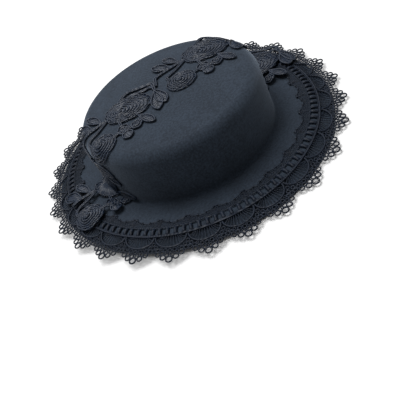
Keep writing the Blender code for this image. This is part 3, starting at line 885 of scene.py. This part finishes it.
def draw_net(d, half):
    """A diamond net of thin threads between the ladder and its pointed border."""
    cells = round(2.0 * half / NET_CELL)
    cell = 2.0 * half / cells
    top = BAR_LOW - LADDER_EDGE
    for slope in (-1.0, 1.0):
        for k in range(-cells, 2 * cells):
            x0 = -half + k * cell
            run = []
            for n in range(0, 40):
                y = top - n * 0.5 * cell
                x = x0 + slope * n * 0.5 * cell
                if abs(x) <= half + 1e-6 and y >= net_border(x) - 0.2:
                    run.append((x, y))
                elif run:
                    break
            if len(run) > 1:
                d.cord(flat(run), NET_CORD * MM)
    places = [-half + 2.0 * half * k / BORDER_STEPS for k in range(BORDER_STEPS + 1)]
    d.cord(flat([(x, net_border(x)) for x in places]), BORDER_CORD * MM)
    for k in range(NET_KNOTS):
        x = -half + 2.0 * half * (k + 0.5) / NET_KNOTS
        y = net_border(x) - 0.4
        d.ring(squeeze(x, y), y * MM, KNOT_CORD * MM, KNOT_CORD * MM, 7, lift=0.2 * MM)


scallop = draw_scallop()
print("one scallop:", len(scallop.cords), "cords,", len(scallop.faces), "patch faces")

# %% Lay the edging on the brim
hat_edging = lay("hat_edging", scallop, edging_guide, (0.0, EDGE_IN), (LINE_LENGTH, EDGE_OUT),
                 SCALLOPS, PITCH, LINE_LENGTH - SCALLOP_PHASE * PITCH, 6, edging_mat)

# %% [markdown]
# ## The rose strip
#
# One repeat has a small rose and a large rose, two small blossoms, leaves with raised veins, and
# stems that join them. The roses are rings of thick cord, each ring waved into petals. The tables
# give places in mm from the small rose, along and across the strip.

# %% Tables of one repeat
ROSES = (
    # swirl's centre, body's centre, half length, half width, turn of the body in degrees, loops, petals
    (-0.1, -5.9, 0.5, -8.5, 15.6, 14.8, 0.0, 6, 9),
    (36.5, 15.8, 44.6, 11.2, 25.6, 19.2, -33.0, 9, 12),
)
BLOSSOMS = (
    # along, across, radius, petals
    (25.0, -12.0, 6.4, 5),
    (36.5, -19.0, 5.4, 5),
)
LEAVES = (
    # base along, base across, tip along, tip across, width, kind
    (25.0, -13.5, 23.5, -27.6, 10.4, "loop"),
    (44.4, -9.5, 49.0, -32.6, 8.0, "loop"),
    (74.2, 6.0, 60.3, -23.2, 11.4, "mesh"),
    (75.2, 8.2, 70.5, -20.8, 10.8, "mesh"),
    (7.4, 19.8, -2.0, 42.6, 11.2, "loop"),
    (18.0, 19.6, 12.5, 43.6, 8.8, "loop"),
)
STEMS = (
    # radius of one of the two cords, distance between them, points
    (1.00, 2.0, ((46.0, 29.5), (53.0, 33.4), (60.2, 33.3), (66.5, 28.2), (74.0, 23.0), (79.0, 18.2),
                 (75.0, 7.5))),
    (0.90, 1.8, ((54.0, 27.0), (64.0, 20.8), (69.0, 17.6), (74.6, 15.7), (76.7, 10.8))),
    (0.80, 1.7, ((12.6, -11.2), (25.0, -12.4), (36.5, -19.0), (45.6, -12.6))),
    (0.80, 1.6, ((29.1, 4.9), (25.0, -12.4))),
    (0.90, 1.9, ((-2.9, 22.6), (7.8, 20.9), (22.3, 18.4))),
    (0.80, 1.7, ((-5.8, 3.9), (-3.9, 10.2), (8.7, 12.6), (20.9, 17.0))),
)
LINK = (0.95, 1.9, ((78.4, 10.1), (82.0, 15.7), (86.0, 22.0), (94.5, 22.6)))

# %% Draw roses, leaves and stems
HEART = 2.2                   # mm, radius of a rose's innermost loop
INNER_CORD = 1.05
OUTER_CORD = 0.60
RIB_CORD = 0.38
SWIRL_CORD = 0.75
SWIRL = 1.3                   # radius of the small spiral in the heart
SWIRL_TURN = 7.0
ROSE_STEPS = 48
RIB_FROM = 0.25               # where a rib starts and ends between two loops
RIB_TO = 0.80
FLOWER_PAD = 0.9              # height of the satin under the cords of roses and blossoms
BLOSSOM_CORD = 0.80


def smooth_line(points, steps):
    """A curve through points, by Catmull-Rom."""
    out = []
    ends = [points[0], *points, points[-1]]
    for k in range(1, len(ends) - 2):
        a, b, c, e = (np.array(ends[k + i]) for i in (-1, 0, 1, 2))
        for n in range(steps):
            t = n / steps
            spot = 0.5 * (2.0 * b + (c - a) * t + (2.0 * a - 5.0 * b + 4.0 * c - e) * t * t
                          + (3.0 * b - a - 3.0 * c + e) * t ** 3)
            out.append((float(spot[0]), float(spot[1])))
    out.append((float(points[-1][0]), float(points[-1][1])))
    return out


def petal_loop(x, y, wide, tall, tilt, petals, depth, turn, steps):
    """A closed line round a centre, on a tilted ellipse, bulging once for each petal."""
    loop = []
    cos_t = math.cos(tilt)
    sin_t = math.sin(tilt)
    for k in range(steps):
        a = 2.0 * math.pi * k / steps
        bulge = 1.0 - depth + depth * abs(math.sin(0.5 * petals * (a - turn))) ** 0.7
        u = wide * bulge * math.cos(a)
        v = tall * bulge * math.sin(a)
        loop.append(((x + u * cos_t - v * sin_t) * MM, (y + u * sin_t + v * cos_t) * MM))
    return loop


def draw_rose(d, start, row, turn):
    """Loops of cord that grow from the rose's heart to its outline, with thin ribs between them."""
    heart_x, heart_y, body_x, body_y, wide, tall, tilt, loops, petals = row
    tilt = math.radians(tilt)
    d.patch(petal_loop(start + body_x, body_y, wide, tall, tilt, petals, 0.10, turn, 5 * petals),
            FLOWER_PAD * MM, rings=3, power=8.0)
    lines = []
    for k in range(loops):
        share = k / (loops - 1)
        grow = share ** 0.92
        count = max(3, round(3 + (petals - 3) * share))
        x = start + heart_x + (body_x - heart_x) * share
        y = heart_y + (body_y - heart_y) * share
        half_x = HEART + (wide * 0.97 - HEART) * grow
        half_y = HEART + (tall * 0.97 - HEART) * grow
        line = petal_loop(x, y, half_x, half_y, tilt, count, 0.05 + 0.05 * share, turn + 0.9 * k,
                          ROSE_STEPS)
        steps = max(12, round(ROSE_STEPS * grow + 10))
        thin = line[::max(1, round(ROSE_STEPS / steps))]
        radius = (INNER_CORD + (OUTER_CORD - INNER_CORD) * share) * MM
        d.cord(thin, radius, True, (0.40 - 0.15 * (k % 2)) * MM)
        lines.append(line)
    for k in range(1, loops - 1):
        inner, outer = lines[k], lines[k + 1]
        for n in range(k % 2, ROSE_STEPS, 2 if k > 2 else 4):
            a, b = inner[n], outer[(n + 1) % ROSE_STEPS]
            near = (a[0] + (b[0] - a[0]) * RIB_FROM, a[1] + (b[1] - a[1]) * RIB_FROM)
            far = (a[0] + (b[0] - a[0]) * RIB_TO, a[1] + (b[1] - a[1]) * RIB_TO)
            d.cord([near, far], RIB_CORD * MM, lift=0.45 * MM)
    spin = [(start + heart_x + SWIRL * (1.0 - t) * math.cos(turn + SWIRL_TURN * t),
             heart_y + SWIRL * (1.0 - t) * math.sin(turn + SWIRL_TURN * t))
            for t in np.linspace(0.0, 0.9, 12)]
    d.cord([(a * MM, b * MM) for a, b in spin], SWIRL_CORD * MM, lift=0.75 * MM)


LEAF_STEPS = 9
LEAF_FROM = 0.04              # a leaf starts and runs at these shares of its length
LEAF_RUN = 0.95
LEAF_CORD = 0.85
VEIN_CORD = 0.45
LOOP_CORD = 0.55
MESH_CORD = 0.28
LOOP_SHARE = 0.52             # width of the loop inside a leaf
MESH_SHARE = 0.86             # how far the threads of a mesh leaf reach to its edge
LOOP_PAD = 0.9
MESH_PAD = 0.7


def leaf_sides(base, tip, width):
    """The two sides of a leaf that is narrow at its base and round at its tip, in mm."""
    bx, by = base
    tx, ty = tip
    size = math.hypot(tx - bx, ty - by)
    px, py = -(ty - by) / size, (tx - bx) / size

    def side(sign, shrink=1.0):
        out = []
        for k in range(LEAF_STEPS + 1):
            s = LEAF_FROM + LEAF_RUN * k / LEAF_STEPS
            w = sign * shrink * 0.5 * width * math.sin(math.pi * s ** 1.45) ** 0.72
            out.append((bx + (tx - bx) * s + px * w, by + (ty - by) * s + py * w))
        return out

    return side


def draw_leaf(d, base, tip, width, kind):
    side = leaf_sides(base, tip, width)
    right, left = side(-1.0), side(1.0)
    loop = [(x * MM, y * MM) for x, y in right + left[::-1]]
    d.patch(loop, (MESH_PAD if kind == "mesh" else LOOP_PAD) * MM, rings=3, power=6.0)
    d.cord(loop, LEAF_CORD * MM, True, 0.30 * MM)
    bx, by = base
    tx, ty = tip
    d.cord([((bx + s * (tx - bx)) * MM, (by + s * (ty - by)) * MM) for s in (0.05, 0.4, 0.82)],
           VEIN_CORD * MM, lift=0.45 * MM)
    if kind == "loop":
        inner = side(-1.0, LOOP_SHARE)[1:-1] + side(1.0, LOOP_SHARE)[1:-1][::-1]
        d.cord([(x * MM, y * MM) for x, y in inner], LOOP_CORD * MM, True, 0.45 * MM)
        return
    for k in range(1, LEAF_STEPS):
        s = LEAF_FROM + LEAF_RUN * (k - 0.9) / LEAF_STEPS
        mid = (bx + (tx - bx) * s, by + (ty - by) * s)
        for edge in (right, left):
            end_x = mid[0] + (edge[k][0] - mid[0]) * MESH_SHARE
            end_y = mid[1] + (edge[k][1] - mid[1]) * MESH_SHARE
            d.cord([(mid[0] * MM, mid[1] * MM), (end_x * MM, end_y * MM)], MESH_CORD * MM, lift=0.45 * MM)


def draw_stem(d, radius, apart, points):
    """Two cords side by side along one smooth line."""
    line = smooth_line(points, 6)
    for side in (-0.5, 0.5):
        run = []
        for k, (x, y) in enumerate(line):
            x0, y0 = line[max(0, k - 1)]
            x1, y1 = line[min(len(line) - 1, k + 1)]
            size = math.hypot(x1 - x0, y1 - y0)
            nx, ny = -(y1 - y0) / size, (x1 - x0) / size
            run.append(((x + nx * side * apart) * MM, (y + ny * side * apart) * MM))
        d.cord(run, radius * MM)


def draw_strip():
    d = Drawing()
    for number in range(REPEATS):
        start = (FIRST_ROSE + number * REPEAT) / MM
        for k, row in enumerate(ROSES):
            draw_rose(d, start, row, 0.4 + 1.3 * k + 0.5 * number)
        for k, (along, across, radius, petals) in enumerate(BLOSSOMS):
            x = start + along
            loop = petal_loop(x, across, radius, radius, 0.0, petals, 0.20, 0.6 * k + number, 6 * petals)
            d.patch(loop, FLOWER_PAD * MM, rings=3, power=5.0)
            d.cord(loop, BLOSSOM_CORD * MM, True, 0.30 * MM)
            inner = petal_loop(x, across, 0.5 * radius, 0.5 * radius, 0.0, petals, 0.15, 0.6 * k, 3 * petals)
            d.cord(inner, BLOSSOM_CORD * MM, True, 0.45 * MM)
        for bx, by, tx, ty, width, kind in LEAVES:
            draw_leaf(d, (start + bx, by), (start + tx, ty), width, kind)
        stems = STEMS + ((LINK,) if number < REPEATS - 1 else ())
        for radius, apart, points in stems:
            draw_stem(d, radius, apart, [(start + x, y) for x, y in points])
    return d


roses = draw_strip()
print("strip:", len(roses.cords), "cords,", len(roses.faces), "patch faces")

# %% Lay the strip on the hat
hat_strip = lay("hat_strip", roses, strip_guide, STRIP_LOW, STRIP_HIGH, 1, 0.0, 0.0, 6, strip_mat)

# %% [markdown]
# ## Tidy up and tie the pieces to the frame
#
# The guide sheets were only helpers. Each new piece rides on the hat's one body and takes the place of the
# plain solid it stands for.

# %% Ride and replace
for helper in (edging_guide, strip_guide):
    bpy.data.objects.remove(helper, do_unlink=True)

for piece, node, finish in ((hat_felt, "felt_body", "felt"), (hat_edging, "brim_lace", "edging_thread"),
                            (hat_strip, "floral_strip", "strip_thread")):
    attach(piece, "root")
    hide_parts(node)

# %% [markdown]
# ## Floor, light and camera
#
# The hat stands on a plain pale floor in soft light. A dark hat needs much light: a broad light
# from above and behind shows the top of the crown, and the white surroundings fill in the rest.

# %% Floor
FLOOR = 6.0
floor_mesh = bpy.data.meshes.new("floor")
corners = [(-FLOOR, -FLOOR, 0.0), (FLOOR, -FLOOR, 0.0), (FLOOR, FLOOR, 0.0), (-FLOOR, FLOOR, 0.0)]
floor_mesh.from_pydata(corners, [], [(0, 1, 2, 3)])
floor = add_object("floor", floor_mesh)
floor_mat, nodes, links, shader = new_material("floor")
shader.inputs["Base Color"].default_value = (0.62, 0.62, 0.62, 1.0)
shader.inputs["Roughness"].default_value = 0.9
floor_mesh.materials.append(floor_mat)

# %% Lights
world = bpy.data.worlds.new("studio")
world.use_nodes = True
world.node_tree.nodes["Background"].inputs["Color"].default_value = (1.0, 1.0, 1.0, 1.0)
world.node_tree.nodes["Background"].inputs["Strength"].default_value = 0.40
bpy.context.scene.world = world
bpy.context.scene.view_settings.view_transform = "Standard"


def area_light(name, place, target, size, power):
    light = bpy.data.lights.new(name, "AREA")
    light.size = size
    light.energy = power
    obj = bpy.data.objects.new(name, light)
    bpy.context.scene.collection.objects.link(obj)
    back = Vector(place) - Vector(target)
    obj.location = place
    obj.rotation_euler = back.to_track_quat("Z", "Y").to_euler()
    return obj


area_light("top_light", (0.25, 0.76, 2.2), (0.0, 0.0, 0.05), 1.7, 98.0)

# %% Camera
CAMERA_TURN = math.radians(-36.7)
CAMERA_RISE = math.radians(41.26)
CAMERA_ROLL = math.radians(-29.51)
CAMERA_AWAY = 0.4754
CAMERA_AIM = (-0.0816, -0.0771, 0.0200)
FOCAL_PIXELS = 563.7
IMAGE = 400
SENSOR = 36.0


def aim_camera():
    camera = bpy.data.cameras.new("camera")
    camera.sensor_width = SENSOR
    camera.lens = FOCAL_PIXELS * SENSOR / IMAGE
    camera.clip_start = 0.01
    obj = bpy.data.objects.new("camera", camera)
    bpy.context.scene.collection.objects.link(obj)
    back = Vector((math.sin(CAMERA_TURN) * math.cos(CAMERA_RISE),
                   -math.cos(CAMERA_TURN) * math.cos(CAMERA_RISE), math.sin(CAMERA_RISE)))
    level = Vector((math.cos(CAMERA_TURN), math.sin(CAMERA_TURN), 0.0))
    upright = back.cross(level)
    right = level * math.cos(CAMERA_ROLL) + upright * math.sin(CAMERA_ROLL)
    up = upright * math.cos(CAMERA_ROLL) - level * math.sin(CAMERA_ROLL)
    turn = Matrix((right, up, back)).transposed()
    obj.matrix_world = Matrix.Translation(Vector(CAMERA_AIM) + back * CAMERA_AWAY) @ turn.to_4x4()
    return obj


bpy.context.scene.camera = aim_camera()
print("camera height:", round(bpy.context.scene.camera.location.z, 3), "m")
